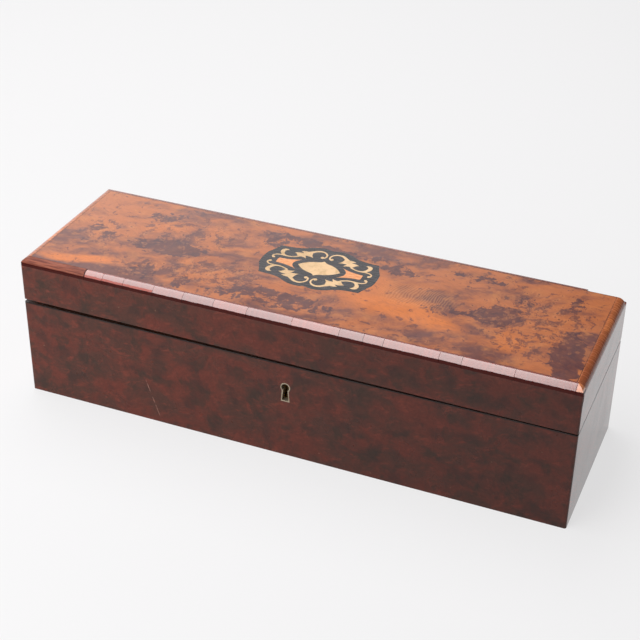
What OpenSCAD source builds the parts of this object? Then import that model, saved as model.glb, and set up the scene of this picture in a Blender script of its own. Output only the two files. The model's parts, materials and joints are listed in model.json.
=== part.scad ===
// Antique glove box, burl veneered, with an inlaid cartouche on a hinged lid.
// Millimetres. Z is up, X runs along the length and the front faces -Y.
// The origin is the middle of the underside.

/* [Box] */
// Length of the closed box
box_w = 300; // [240:5:340]
// Depth of the box from front to back
box_d = 92; // [80:1:120]
// Height of the closed box
box_h = 82; // [76:1:110]
// Height of the base up to its rim
base_h = 55.7; // [48:0.1:58]
// Gap between the base and the lid at the hinges
seam_gap = 0.6; // [0.4:0.1:1]
// Extra gap at the front left corner, where the old lid has warped
seam_lift = 1.3; // [0:0.1:1.8]
// Rounding of the upright corners
corner_r = 1.2; // [0.8:0.1:2]

/* [Carcase] */
// Thickness of the wall boards
board_t = 7; // [6.5:0.1:9]
// Thickness of the board under the base
floor_t = 5; // [4:0.5:8]
// Thickness of the board in the lid's top
top_t = 7; // [6:0.5:9]
// Thickness of the veneer on every outside face
veneer_t = 0.8; // [0.6:0.1:1.2]

/* [Edge banding] */
// Width of the banding on the top
band_w = 4.4; // [3.6:0.2:6]
// Height of the banding on the sides
band_h = 4.2; // [3.4:0.1:6]
// Radius of the quarter round along the lid's upper edges
nose_r = 4; // [1.5:0.1:4.2]
// Open joint between neighbouring pieces of banding
band_joint = 0.15; // [0.1:0.05:0.3]
// Length of banding lost from the right end of the back edge
band_lost = 20; // [0:1:40]
// Height of the corner chip in the lid's right veneer
chip_h = 8; // [2:0.5:10]
// Width of that chip
chip_w = 1.4; // [0.5:0.1:3]

/* [Cartouche] */
// Distance of the cartouche's middle to the left of the lid's middle
cart_left = 3; // [-10:0.2:10]
// Distance of the cartouche's middle behind the lid's middle
cart_back = 7.4; // [-8:0.2:8]
// Length of the cartouche from end to end
cart_w = 64; // [50:1:76]

/* [Keyhole] */
// Distance of the lock to the right of the middle
lock_x = 1.4; // [-8:0.2:8]
// Distance from the rim down to the middle of the keyhole's round head
key_depth = 13.7; // [13.4:0.1:17]
// Radius of the keyhole's round head
key_r = 2.1; // [1.9:0.1:2.4]
// Width of the keyhole just under its head
key_waist = 2.2; // [1.8:0.1:2.4]
// Width of the keyhole at its foot
key_foot = 3.6; // [3:0.1:4.4]
// Distance from the middle of the head to the foot
key_drop = 7.9; // [6.5:0.1:9]
// Wall of the brass thread let into the keyhole
thread_wall = 0.6; // [0.4:0.1:1]
// Depth of the brass thread from the front
thread_depth = 3; // [2:0.1:3.2]

/* [Lock] */
// Width of the lock case
lock_w = 44; // [42:1:50]
// Length of each ear that the lock plate has beside the case
lock_ear = 6; // [5.5:0.5:8]
// Thickness of the lock plate and of the case walls
plate_t = 1; // [0.8:0.1:1.2]
// Thickness of the cap on the case
cap_t = 0.6; // [0.5:0.1:0.8]
// Thickness of the bolt
bolt_t = 2; // [1.6:0.1:2.2]
// Height of the bolt's tongue
tongue_h = 2; // [1.6:0.1:2.4]
// Travel of the bolt from open to locked
bolt_travel = 3.5; // [2.5:0.1:3.8]
// Radius of the two guide studs
stud_r = 0.8; // [0.6:0.05:0.9]
// Radius of the drill pin, which enters the barrel of the key
drill_r = 0.85; // [0.7:0.05:1]
// Thickness of the selvedge and of the link plate
selvedge_t = 1.2; // [1:0.1:1.4]
// Width of the selvedge and of the link plate from front to back
selvedge_d = 4.7; // [4.5:0.1:5.5]
// Length of the link plate
link_w = 44; // [40:1:56]
// Width of the hooked staple under the link plate
staple_w = 7; // [6.6:0.1:8]
// Thickness of the staple from front to back
staple_t = 1.6; // [1.2:0.1:1.8]

/* [Hinges] */
// Distance from the middle of the box to the middle of each hinge
hinge_x = 95; // [60:1:105]
// Length of each hinge
hinge_l = 38; // [28:1:50]
// Thickness of the hinge leaves
leaf_t = 1.1; // [0.9:0.1:1.4]
// Distance of the hinge axis in from the back face
hinge_inset = 2.2; // [2.1:0.1:2.6]
// Radius of the hinge knuckles
knuckle_r = 1.9; // [1.7:0.05:2]
// Radius of the hinge pins
pin_r = 0.9; // [0.7:0.05:1]
// Number of knuckles on each hinge
knuckles = 5; // [3:2:7]
// Angle of the open lid, at which its bevelled back edge meets the base
lid_open = 98; // [92:1:104]

/* [Screws] */
// Radius of the screw heads
head_r = 1.5; // [1.3:0.1:1.7]
// Radius of the screw shanks
shank_r = 0.8; // [0.6:0.1:1]
// Length of the upright screws in the hinges, selvedge and link plate
screw_l = 8; // [6:0.5:10]
// Length of the short screws through the lock plate's ears
ear_screw_l = 4.8; // [4:0.1:5]

/* [Lining] */
// Thickness of the padded wall linings
lining_t = 3; // [2:0.5:5]
// Distance from the rim down to the top of the linings
lining_drop = 1.6; // [1:0.1:4]
// Thickness of the pad on the floor
floor_pad_t = 6; // [3:0.5:10]
// Thickness of the tufted pad in the lid
lid_pad_t = 7; // [4:0.5:9]

/* [Clearances] */
// Gap between the bevelled back edges when the lid is fully open
stop_gap = 0.3; // [0.2:0.05:0.5]
// Running fit round the hinge pins and guide studs
run_fit = 0.05; // [0.03:0.01:0.08]
// Gap round the hinge knuckles and between them
knuckle_gap = 0.25; // [0.2:0.05:0.4]
// Room for the key behind the brass thread
key_room = 0.4; // [0.3:0.05:0.6]
// Gap round the bolt's tongue, its spring and the staple
bolt_gap = 0.3; // [0.25:0.05:0.4]
// Fit of screws in their holes
screw_fit = 0.05; // [0.02:0.01:0.1]
// Gap between neighbouring soft linings
soft_gap = 0.3; // [0.2:0.1:1]

/* [Hidden] */
$fn = 48;
far = 1;
x_out = box_w / 2;
y_out = box_d / 2;
x_board = x_out - veneer_t;
y_board = y_out - veneer_t;
x_wall = x_board - board_t;
y_wall = y_board - board_t;
lid_z = base_h + seam_gap;
board_top = box_h - veneer_t;
ceiling = board_top - top_t;
band_z = box_h - band_h;

// The hinge axis, the keyhole and the link plate.
axis_y = y_out - hinge_inset;
axis_z = base_h + seam_gap / 2;
bevel = lid_open / 2;
key_z = base_h - key_depth;
link_z = lid_z + lift_at(lock_x);

// Lock positions across the front board, counted in from its inner face.
case_t = plate_t + bolt_t + 2 * bolt_gap + cap_t;
plate_y = -y_wall - plate_t;
cap_y = -y_wall - case_t;
cavity_y = cap_y + cap_t;
bolt_y = cavity_y + bolt_gap;
staple_y = (plate_y + cavity_y) / 2;
case_foot = 1.4;
case_h = key_depth + key_drop + plate_t + case_foot;

// Lock heights, counted up from the rim.
staple_web = 2.3;
staple_lip = 1.6;
staple_room = 0.5;
tongue_top = -staple_web - bolt_gap;
tongue_low = tongue_top - tongue_h;
notch_low = tongue_low - bolt_gap;
staple_low = notch_low - staple_lip;
bar_top = staple_low - staple_room;
bar_h = 4.2;
talon_h = 2.6;
bar_low = bar_top - bar_h;
slot_z = bar_top - bar_h / 2;

// Lock widths, counted from the middle of the lock with the bolt open.
staple_left = -staple_w / 2;
talon_w = 3.6;
tongue_w = 4;
tongue_tip = staple_left - staple_room;
upstand_x = tongue_tip - tongue_w;
upstand_w = 8;
bar_end = 2;
bar_left = -lock_w / 2 + plate_t + bar_end;
bar_right = 13;
stud_end = 2.5;
stud_x = [bar_left + bolt_travel + stud_end, bar_right - stud_end];
notch_stop = 0.1;
notch_in = bolt_travel - notch_stop;
selvedge_w = lock_w + 2 * lock_ear;
ear_screw_x = lock_w / 2 + lock_ear / 2;
plate_screw_end = 4;
link_screw_x = link_w / 2 - plate_screw_end;
spring_t = 0.4;
spring_drop = 2.4;

// Hinge and screw details.
bore_r = pin_r + run_fit;
groove_gap = 0.2;
groove_r = knuckle_r + groove_gap;
knuckle_pitch = hinge_l / knuckles;
screw_edge = 0.4;
screw_y = y_wall + head_r + screw_edge;
leaf_screw_end = 6;
slot_w = 0.3;
slot_depth = 0.35;

// The banding joints as shares of the edge's length, as an old hand cut them.
front_joints = [0.127, 0.162, 0.202, 0.259, 0.315, 0.372, 0.433,
    0.514, 0.597, 0.639, 0.673, 0.767, 0.804, 0.89, 0.987];
back_joints = [0.06, 0.17, 0.29, 0.37, 0.49, 0.58, 0.7, 0.81, 0.9];
right_joints = [0.17, 0.34, 0.5, 0.6, 0.74];
left_joints = [0.22, 0.41, 0.63, 0.8];

// Length at which the cartouche is drawn, from its middle.
cart_drawn = 64;

// How far the warped lid stands up at a place along its front edge.
function lift_at(x) = seam_lift * (x_out - x) / box_w;

// A box between two opposite corners.
module block(low, high) {
    translate(low) cube(high - low);
}

// A flat outline of Y and Z, drawn out along X.
module along_x(from, to) {
    translate([from, 0, 0]) rotate([90, 0, 90]) linear_extrude(to - from) children();
}

// A flat outline of X and Z, drawn out along Y.
module along_y(from, to) {
    translate([0, to, 0]) rotate([90, 0, 0]) linear_extrude(to - from) children();
}

// The end outline of the closed box, which a quarter round closes at each upper edge.
module nosed_top(half) {
    translate([-half, 0]) square([2 * half, box_h - nose_r]);
    translate([nose_r - half, 0]) square([2 * (half - nose_r), box_h]);
    for (side = [-1, 1])
        translate([side * (half - nose_r), box_h - nose_r]) circle(r = nose_r, $fn = 96);
}

// The plan of the box with its rounded upright corners.
module plan() {
    square([box_w - 2 * corner_r, box_d], center = true);
    square([box_w, box_d - 2 * corner_r], center = true);
    for (sx = [-1, 1], sy = [-1, 1])
        translate([sx * (x_out - corner_r), sy * (y_out - corner_r)]) circle(r = corner_r);
}

// The outer form of the closed box, which every outside piece keeps to.
module outer_form() {
    intersection() {
        linear_extrude(box_h) plan();
        along_x(-x_out, x_out) nosed_top(y_out);
        along_y(-y_out, y_out) nosed_top(x_out);
    }
}

// The wedge behind the hinge axis that the bevel takes off the base or the lid.
module hinge_bevel(up) {
    start = axis_y - far;
    end = y_out + far;
    offset_z = stop_gap / 2 / cos(bevel);
    near_z = -far * tan(bevel) + offset_z;
    far_z = (end - axis_y) * tan(bevel) + offset_z;
    along_x(-x_out - far, x_out + far)
        translate([0, axis_z]) mirror([0, up ? 0 : 1])
            polygon([[start, near_z], [end, near_z], [end, far_z]]);
}

// The wedges that the warp takes off the lid's lower edge.
module front_lift() {
    if (seam_lift > 0)
        along_y(-y_out - far, -y_wall + far)
            polygon([[-x_out, lid_z - far], [x_out, lid_z - far], [x_out, lid_z],
                [-x_out, lid_z + seam_lift]]);
}

module left_lift() {
    if (seam_lift > 0)
        along_x(-x_out - far, -x_wall + far)
            polygon([[-y_out, lid_z - far], [y_out, lid_z - far], [y_out, lid_z],
                [-y_out, lid_z + seam_lift]]);
}

// A round rod along Y between two places.
module rod_y(from, to, r) {
    translate([0, to, 0]) rotate([90, 0, 0]) cylinder(r = r, h = to - from);
}

// The keyhole's form between two places, grown by a margin.
module key_form(from, to, grow) {
    translate([lock_x, 0, key_z]) {
        rod_y(from, to, key_r + grow);
        along_y(from, to)
            polygon([[-key_waist / 2 - grow, 0], [key_waist / 2 + grow, 0],
                [key_foot / 2 + grow, -key_drop - grow],
                [-key_foot / 2 - grow, -key_drop - grow]]);
    }
}

// A countersunk screw along -Z with its head's face at the origin, or its hole.
module screw(long, grow = 0) {
    sink = head_r - shank_r;
    translate([0, 0, -sink]) cylinder(r1 = shank_r + grow, r2 = head_r + grow, h = sink);
    translate([0, 0, -long - grow]) cylinder(r = shank_r + grow, h = long + grow);
}

// A screw with its slot cut across the head.
module slotted_screw(long, turn) {
    difference() {
        screw(long);
        rotate([0, 0, turn])
            block([-head_r - far, -slot_w / 2, -slot_depth], [head_r + far, slot_w / 2, far]);
    }
}

// Base

module base_floor_board() {
    color("burlywood") block([-x_board, -y_board, 0], [x_board, y_board, floor_t]);
}

module base_front_board() {
    color("tan") difference() {
        block([-x_board, -y_board, floor_t], [x_board, -y_wall, base_h]);
        key_form(-y_board - far, -y_out + thread_depth, thread_wall);
        key_form(-y_out + thread_depth, -y_wall, key_room);
        translate([lock_x, 0, base_h]) {
            block([-lock_w / 2, cap_y, -case_h], [lock_w / 2, -y_wall + far, far]);
            block([-selvedge_w / 2, plate_y, -case_h], [selvedge_w / 2, -y_wall + far, far]);
            block([-selvedge_w / 2, -y_wall - selvedge_d, -selvedge_t],
                [selvedge_w / 2, -y_wall + far, far]);
            at_lock_screws() screw($screw_l, screw_fit);
        }
    }
}

module base_back_board() {
    color("tan") difference() {
        block([-x_board, y_wall, floor_t], [x_board, y_board, base_h]);
        hinge_seats(false);
        hinge_bevel(false);
    }
}

module end_board(side, low, high) {
    x = side * (x_wall + board_t / 2);
    block([x - board_t / 2, -y_wall, low], [x + board_t / 2, y_wall, high]);
}

module base_left_board() {
    color("tan") end_board(-1, floor_t, base_h);
}

module base_right_board() {
    color("tan") end_board(1, floor_t, base_h);
}

// A veneer over the whole front or back face, between two heights.
module long_veneer(side, low, high) {
    y = side * (y_out - veneer_t / 2);
    intersection() {
        outer_form();
        block([-x_out, y - veneer_t / 2, low], [x_out, y + veneer_t / 2, high]);
    }
}

// A veneer over an end face, between the front and back veneers.
module end_veneer(side, low, high) {
    x = side * (x_out - veneer_t / 2);
    intersection() {
        outer_form();
        block([x - veneer_t / 2, -y_board, low], [x + veneer_t / 2, y_board, high]);
    }
}

module base_front_veneer() {
    color("brown") difference() {
        long_veneer(-1, 0, base_h);
        key_form(-y_out - far, -y_board + far, thread_wall);
    }
}

module base_back_veneer() {
    color("brown") difference() {
        long_veneer(1, 0, base_h);
        hinge_bevel(false);
    }
}

module base_left_veneer() {
    color("brown") difference() {
        end_veneer(-1, 0, base_h);
        hinge_bevel(false);
    }
}

module base_right_veneer() {
    color("brown") difference() {
        end_veneer(1, 0, base_h);
        hinge_bevel(false);
    }
}

module keyhole_thread() {
    color("gold") difference() {
        key_form(-y_out, -y_out + thread_depth, thread_wall);
        key_form(-y_out - far, -y_out + thread_depth + far, 0);
    }
}

// Lock

// Sets its child at each screw of the lock, with its length and turn.
module at_lock_screws() {
    for (side = [-1, 1]) {
        $screw_l = screw_l;
        $turn = 25 * side;
        translate([side * ear_screw_x, -y_wall - selvedge_d / 2, 0]) children();
    }
    for (side = [-1, 1]) {
        $screw_l = ear_screw_l;
        $turn = 50 + 30 * side;
        translate([side * ear_screw_x, -y_wall, -key_depth]) rotate([-90, 0, 0]) children();
    }
}

module lock_plate() {
    inner_w = lock_w / 2 - plate_t;
    color("goldenrod") translate([lock_x, 0, base_h]) difference() {
        union() {
            block([-selvedge_w / 2, plate_y, -case_h], [selvedge_w / 2, -y_wall, 0]);
            block([-selvedge_w / 2, -y_wall - selvedge_d, -selvedge_t],
                [selvedge_w / 2, -y_wall, 0]);
            difference() {
                block([-lock_w / 2, cavity_y, -case_h], [lock_w / 2, -y_wall, -selvedge_t]);
                block([-inner_w, cavity_y - far, plate_t - case_h],
                    [inner_w, plate_y, -selvedge_t]);
            }
        }
        block([staple_left - staple_room, cavity_y + bolt_gap / 2, -selvedge_t - far],
            [staple_room - staple_left, plate_y - bolt_gap / 2, far]);
        at_lock_screws() screw($screw_l, screw_fit);
    }
}

module lock_cap() {
    color("darkgoldenrod") difference() {
        translate([lock_x, 0, base_h])
            block([-lock_w / 2, cap_y, -case_h], [lock_w / 2, cavity_y, -selvedge_t]);
        key_form(cap_y - far, cavity_y + far, key_room);
        at_studs() rod_y(cap_y - far, cavity_y + far, stud_r + screw_fit);
    }
}

// Sets its child on the middle line of each guide stud.
module at_studs() {
    for (x = stud_x) translate([lock_x + x, 0, base_h + slot_z]) children();
}

module lock_studs() {
    color("silver") at_studs() rod_y(cap_y, plate_y, stud_r);
}

module lock_drill_pin() {
    color("silver") translate([lock_x, 0, key_z])
        rod_y(-y_out + thread_depth + bolt_gap, plate_y, drill_r);
}

module lock_screws() {
    color("khaki") translate([lock_x, 0, base_h])
        at_lock_screws() slotted_screw($screw_l, $turn);
}

module lock_bolt() {
    talon = talon_w / 2;
    notch_top = bar_low + talon_h;
    color("silver") translate([lock_x, 0, base_h]) difference() {
        along_y(bolt_y, bolt_y + bolt_t)
            polygon([[bar_left, bar_low], [-talon, bar_low], [-talon, notch_top],
                [talon, notch_top], [talon, bar_low], [bar_right, bar_low],
                [bar_right, bar_top], [upstand_x, bar_top], [upstand_x, tongue_low],
                [tongue_tip, tongue_low], [tongue_tip, tongue_top], [upstand_x, tongue_top],
                [upstand_x, -selvedge_t - bolt_gap],
                [upstand_x - upstand_w, -selvedge_t - bolt_gap],
                [upstand_x - upstand_w, bar_top], [bar_left, bar_top]]);
        for (x = stud_x) stud_slot(x - bolt_travel, x, stud_r + run_fit);
    }
}

// The round-ended slot that rides on a guide stud.
module stud_slot(from, to, r) {
    translate([0, bolt_y - far, slot_z]) {
        block([from, 0, -r], [to, bolt_t + 2 * far, r]);
        for (x = [from, to]) translate([x, 0, 0]) rod_y(0, bolt_t + 2 * far, r);
    }
}

module bolt_spring() {
    root = bar_right - spring_t;
    foot = root - 2 * spring_t;
    tip = staple_room - staple_left + 2 * spring_t;
    crown = -selvedge_t - bolt_gap;
    bend = crown - spring_drop;
    color("lightsteelblue") translate([lock_x, 0, base_h])
        along_y(bolt_y + spring_t / 2, bolt_y + bolt_t - spring_t / 2)
            polygon([[root, bar_top], [root, bend], [tip, crown],
                [tip - spring_t / 2, crown - spring_t], [foot, bend - spring_t],
                [foot, bar_top]]);
}

// Hinges

// Sets its child at the middle of each hinge, on the hinge axis.
module at_hinges() {
    for (side = [-1, 1]) translate([side * hinge_x, axis_y, axis_z]) children();
}

// A cylinder along X about the hinge axis.
module axis_rod(from, to, r) {
    translate([from, 0, 0]) rotate([0, 90, 0]) cylinder(r = r, h = to - from);
}

// The seats that the hinges need in the edge of the base or the lid.
module hinge_seats(up) {
    at_hinges() mirror([0, 0, up ? 0 : 1]) {
        block([-hinge_l / 2, y_wall - axis_y - far, 0],
            [hinge_l / 2, 0, seam_gap / 2 + leaf_t]);
        axis_rod(-hinge_l / 2, hinge_l / 2, groove_r);
        at_leaf_screws() screw(screw_l, screw_fit);
    }
}

// Sets its child at each screw of an upper leaf, driven upwards.
module at_leaf_screws() {
    for (k = [-1, 0, 1])
        translate([k * (hinge_l / 2 - leaf_screw_end), screw_y - axis_y, seam_gap / 2])
            rotate([180, 0, 0]) children();
}

// One leaf of each hinge with its knuckles: the lid's leaf, or the base's.
module hinge_leaves(up) {
    at_hinges() mirror([0, 0, up ? 0 : 1]) difference() {
        union() {
            block([-hinge_l / 2, y_wall - axis_y, seam_gap / 2],
                [hinge_l / 2, 0, seam_gap / 2 + leaf_t]);
            for (k = [0 : knuckles - 1])
                if ((k % 2 == 1) == up) knuckle(k, knuckle_r, -knuckle_gap / 2);
        }
        for (k = [0 : knuckles - 1])
            if ((k % 2 == 1) != up) knuckle(k, knuckle_r + knuckle_gap, knuckle_gap / 2);
        axis_rod(-hinge_l / 2 - far, hinge_l / 2 + far, bore_r);
        at_leaf_screws() screw(screw_l, screw_fit);
    }
}

module knuckle(k, r, grow) {
    left = -hinge_l / 2 + k * knuckle_pitch;
    axis_rod(left - grow, left + knuckle_pitch + grow, r);
}

module hinge_base_leaves() {
    color("peru") hinge_leaves(false);
}

module hinge_lid_leaves() {
    color("peru") hinge_leaves(true);
}

module hinge_pins() {
    color("gray") at_hinges()
        axis_rod(-hinge_l / 2 + knuckle_gap / 2, hinge_l / 2 - knuckle_gap / 2, pin_r);
}

module hinge_base_screws() {
    color("khaki") at_hinges() mirror([0, 0, 1])
        at_leaf_screws() slotted_screw(screw_l, 20);
}

module hinge_lid_screws() {
    color("khaki") at_hinges() at_leaf_screws() slotted_screw(screw_l, 65);
}

// Linings

// A lining on the front or back wall, between two heights.
module long_lining(side, low, high) {
    y = side * (y_wall - lining_t / 2);
    block([-x_wall, y - lining_t / 2, low], [x_wall, y + lining_t / 2, high]);
}

// A lining on an end wall, between the long linings.
module end_lining(side, low, high) {
    x = side * (x_wall - lining_t / 2);
    y = y_wall - lining_t - soft_gap;
    block([x - lining_t / 2, -y, low], [x + lining_t / 2, y, high]);
}

// A pad that fills the floor or ceiling inside the linings.
module pad(low, high) {
    x = x_wall - lining_t - soft_gap;
    y = y_wall - lining_t - soft_gap;
    block([-x, -y, low], [x, y, high]);
}

module well_front_lining() {
    color("mediumvioletred") long_lining(-1, floor_t, base_h - lining_drop);
}

module well_back_lining() {
    color("mediumvioletred") long_lining(1, floor_t, base_h - lining_drop);
}

module well_left_lining() {
    color("mediumvioletred") end_lining(-1, floor_t, base_h - lining_drop);
}

module well_right_lining() {
    color("mediumvioletred") end_lining(1, floor_t, base_h - lining_drop);
}

module well_floor_pad() {
    color("palevioletred") pad(floor_t, floor_t + floor_pad_t);
}

module lid_front_lining() {
    color("mediumvioletred") long_lining(-1, lid_z + lining_drop, ceiling);
}

module lid_back_lining() {
    color("mediumvioletred") long_lining(1, lid_z + lining_drop, ceiling);
}

module lid_left_lining() {
    color("mediumvioletred") end_lining(-1, lid_z + lining_drop, ceiling);
}

module lid_right_lining() {
    color("mediumvioletred") end_lining(1, lid_z + lining_drop, ceiling);
}

module lid_pad() {
    color("palevioletred") pad(ceiling - lid_pad_t, ceiling);
}

// Lid

module lid_top_board() {
    color("burlywood") difference() {
        block([-x_board, -y_board, ceiling], [x_board, y_board, board_top]);
        difference() {
            block([-x_out, -y_out, band_z], [x_out, y_out, box_h]);
            block([band_w - x_out, band_w - y_out, 0], [x_out - band_w, y_out - band_w, box_h]);
        }
    }
}

module lid_front_board() {
    color("tan") difference() {
        block([-x_board, -y_board, lid_z], [x_board, -y_wall, ceiling]);
        front_lift();
        translate([lock_x, 0, link_z]) {
            block([-link_w / 2, -y_wall - selvedge_d, -seam_lift - far],
                [link_w / 2, -y_wall + far, selvedge_t]);
            at_link_screws() screw(screw_l, screw_fit);
        }
    }
}

module lid_back_board() {
    color("tan") difference() {
        block([-x_board, y_wall, lid_z], [x_board, y_board, ceiling]);
        hinge_seats(true);
        hinge_bevel(true);
    }
}

module lid_left_board() {
    color("tan") difference() {
        end_board(-1, lid_z, ceiling);
        left_lift();
    }
}

module lid_right_board() {
    color("tan") end_board(1, lid_z, ceiling);
}

module lid_top_veneer() {
    color("chocolate") difference() {
        block([band_w - x_out, band_w - y_out, board_top],
            [x_out - band_w, y_out - band_w, box_h]);
        inlay(far) cartouche_outline();
    }
}

module lid_front_veneer() {
    color("brown") difference() {
        long_veneer(-1, lid_z, band_z);
        front_lift();
    }
}

module lid_back_veneer() {
    color("brown") difference() {
        long_veneer(1, lid_z, band_z);
        hinge_bevel(true);
    }
}

module lid_left_veneer() {
    color("brown") difference() {
        end_veneer(-1, lid_z, band_z);
        left_lift();
        hinge_bevel(true);
    }
}

module lid_right_veneer() {
    color("brown") difference() {
        end_veneer(1, lid_z, band_z);
        hinge_bevel(true);
        along_x(x_board - far, x_out + far)
            polygon([[-y_out, band_z], [-y_board + chip_w, band_z],
                [-y_board + chip_w / 2, band_z - chip_h / 2], [-y_out, band_z - chip_h]]);
    }
}

// The pieces of banding along one edge, between open joints.
module banding(from, to, joints, whole) {
    inner = [for (f = joints) (f - 0.5) * whole];
    cuts = concat([from], [for (x = inner) if (x < to - 2 * band_joint) x], [to]);
    for (i = [0 : len(cuts) - 2]) {
        $left = cuts[i] + (i == 0 ? 0 : band_joint / 2);
        $right = cuts[i + 1] - (i == len(cuts) - 2 ? 0 : band_joint / 2);
        children();
    }
}

module lid_front_banding() {
    color("sienna") intersection() {
        outer_form();
        banding(-x_out, x_out, front_joints, box_w)
            block([$left, -y_out, band_z], [$right, band_w - y_out, box_h]);
    }
}

module lid_back_banding() {
    color("sienna") intersection() {
        outer_form();
        banding(-x_out, x_out - band_lost, back_joints, box_w)
            block([$left, y_out - band_w, band_z], [$right, y_out, box_h]);
    }
}

// The banding on an end, between the front and back bandings.
module end_banding(side, joints) {
    x = side * (x_out - band_w / 2);
    half = y_out - band_w;
    intersection() {
        outer_form();
        banding(-half, half, joints, 2 * half)
            block([x - band_w / 2, $left, band_z], [x + band_w / 2, $right, box_h]);
    }
}

module lid_left_banding() {
    color("sienna") end_banding(-1, left_joints);
}

module lid_right_banding() {
    color("sienna") end_banding(1, right_joints);
}

// Points along a quadratic curve, without its last point.
function curve(a, b, c, n = 6) =
    [for (i = [0 : n - 1]) let (t = i / n) (1 - t) ^ 2 * a + 2 * t * (1 - t) * b + t ^ 2 * c];

// One point of the smooth line between b and c.
function between(a, b, c, d, t) =
    (2 * b + (c - a) * t + (2 * a - 5 * b + 4 * c - d) * t ^ 2
        + (3 * b - a - 3 * c + d) * t ^ 3) / 2;

// A smooth line through hand-set points, each with its half width.
function smooth(p, n) = [
    for (i = [0 : len(p) - 2], k = [0 : n - 1])
        between(p[max(i - 1, 0)], p[i], p[i + 1], p[min(i + 2, len(p) - 1)], k / n),
    p[len(p) - 1]];

// The whole outline of a form from its quarter, which runs from the V axis to the U axis.
function whole(q) = concat(q, [for (i = [len(q) - 2 : -1 : 0]) [q[i].x, -q[i].y]],
    [for (i = [1 : len(q) - 1]) [-q[i].x, -q[i].y]],
    [for (i = [len(q) - 2 : -1 : 1]) [-q[i].x, q[i].y]]);

// One edge of a stem that follows a smooth line, to its left or its right.
function edge(line, side) = [
    for (i = [0 : len(line) - 1])
        let (d = line[min(i + 1, len(line) - 1)] - line[max(i - 1, 0)], l = norm([d.x, d.y]))
            [line[i].x, line[i].y] + side * line[i].z / l * [-d.y, d.x]];

function backwards(p) = [for (i = [len(p) - 1 : -1 : 0]) p[i]];

// A flat part of the cartouche, let into the lid's top at the veneer's depth.
module inlay(high = 0) {
    size = cart_w / cart_drawn;
    translate([-cart_left, cart_back, board_top - high])
        linear_extrude(veneer_t + 2 * high) scale([size, size]) children();
}

// The cartouche's ground.
module cartouche_outline() {
    polygon(whole(concat([[0, 19.9]], curve([0.8, 19.9], [3.2, 21.2], [6.4, 20.7]),
        curve([6.4, 20.7], [10.2, 20.2], [13.6, 17.8]),
        curve([13.6, 17.8], [17.6, 15.2], [27.6, 15.2]),
        curve([27.6, 15.2], [29.4, 9.8], [31.4, 6.2]),
        curve([31.4, 6.2], [32, 3], [32, 0]), [[32, 0]])));
}

module lozenge_outline() {
    polygon(whole(concat(curve([0, 8], [1.3, 6.1], [3.8, 5.6]),
        curve([3.8, 5.6], [8.4, 4.5], [11.8, 0]), [[11.8, 0]])));
}

module panel_outline() {
    half = concat([[23.6, 1.9]], curve([23.1, 2.4], [17.4, 2.3], [11.3, 5.1]),
        curve([11.3, 5.1], [14.6, 3], [14.7, 0]));
    polygon(concat(half, [[14.7, 0]], [for (p = backwards(half)) [p.x, -p.y]]));
}

// The scroll of one quarter: its stem, which curls round to a ball at each end, and its leaves.
module scroll_outline() {
    inner_stem = smooth([[3.5, 11.7, 0.1], [3.2, 11.5, 0.8], [2.5, 11.2, 1.1],
        [1.7, 11.3, 0.6], [1.1, 12.3, 0.45], [1.15, 14.2, 0.45], [2.4, 16.1, 0.52],
        [4.7, 17.1, 0.62], [7.3, 16.5, 0.75], [9.6, 14.6, 0.95]], 3);
    middle_stem = smooth([[15.2, 7.2, 0.5], [18.2, 5.9, 0.45], [20.8, 5.6, 0.5]], 3);
    outer_stem = smooth([[23.8, 5.8, 0.5], [26, 5.4, 0.46], [27.4, 4.2, 0.42],
        [27.5, 3, 0.5], [26.9, 2.3, 0.8], [26.2, 2.1, 0.7], [25.8, 2.1, 0.1]], 3);
    leaf_front = concat(curve([11.8, 14.2], [13.8, 14.5], [15.6, 13.2], 4),
        curve([15.6, 13.2], [14.2, 13], [13.6, 11.9], 4),
        curve([13.6, 11.9], [16, 12.3], [18.3, 10.6], 4),
        curve([18.3, 10.6], [16.6, 10.4], [16.1, 8.3], 4));
    curled_leaf = concat(curve([21.9, 6.6], [23.5, 8.2], [23.4, 10], 4),
        curve([23.4, 10], [23.3, 11.6], [21.6, 12], 4),
        curve([21.6, 12], [23.8, 13.6], [25.4, 11.6], 4),
        curve([25.4, 11.6], [26.5, 9.4], [24.4, 6.8], 4));
    leaf_back = concat(curve([13.9, 8], [12.3, 8.2], [10.5, 7], 4),
        curve([10.5, 7], [11, 8.4], [11.7, 9.7], 4),
        curve([11.7, 9.7], [9.4, 10], [7, 9.1], 4),
        curve([7, 9.1], [8.6, 10.6], [8.7, 12.6], 4));
    polygon(concat(edge(inner_stem, 1), leaf_front, edge(middle_stem, 1), curled_leaf,
        edge(outer_stem, 1), backwards(edge(outer_stem, -1)),
        backwards(edge(middle_stem, -1)), leaf_back, backwards(edge(inner_stem, -1))));
}

// The two end panels, let in left and right.
module panel_pair(high = 0) {
    for (mx = [0, 1]) translate([-cart_left, 0, 0]) mirror([mx, 0, 0])
        translate([cart_left, 0, 0]) inlay(high) panel_outline();
}

// The four scrolls, one in each quarter.
module scroll_set(high = 0) {
    for (mx = [0, 1], my = [0, 1]) translate([-cart_left, cart_back, 0])
        mirror([mx, 0, 0]) mirror([0, my, 0])
            translate([cart_left, -cart_back, 0]) inlay(high) scroll_outline();
}

module cartouche_ground() {
    color("dimgray") difference() {
        inlay() cartouche_outline();
        inlay(far) lozenge_outline();
        panel_pair(far);
        scroll_set(far);
    }
}

module cartouche_lozenge() {
    color("palegoldenrod") inlay() lozenge_outline();
}

module cartouche_panels() {
    color("orange") panel_pair();
}

module cartouche_scrolls() {
    color("palegoldenrod") scroll_set();
}

// Sets its child at each screw of the link plate, driven upwards.
module at_link_screws() {
    for (side = [-1, 1])
        translate([side * link_screw_x, -y_wall - selvedge_d / 2, 0])
            rotate([180, 0, 0]) children();
}

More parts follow.
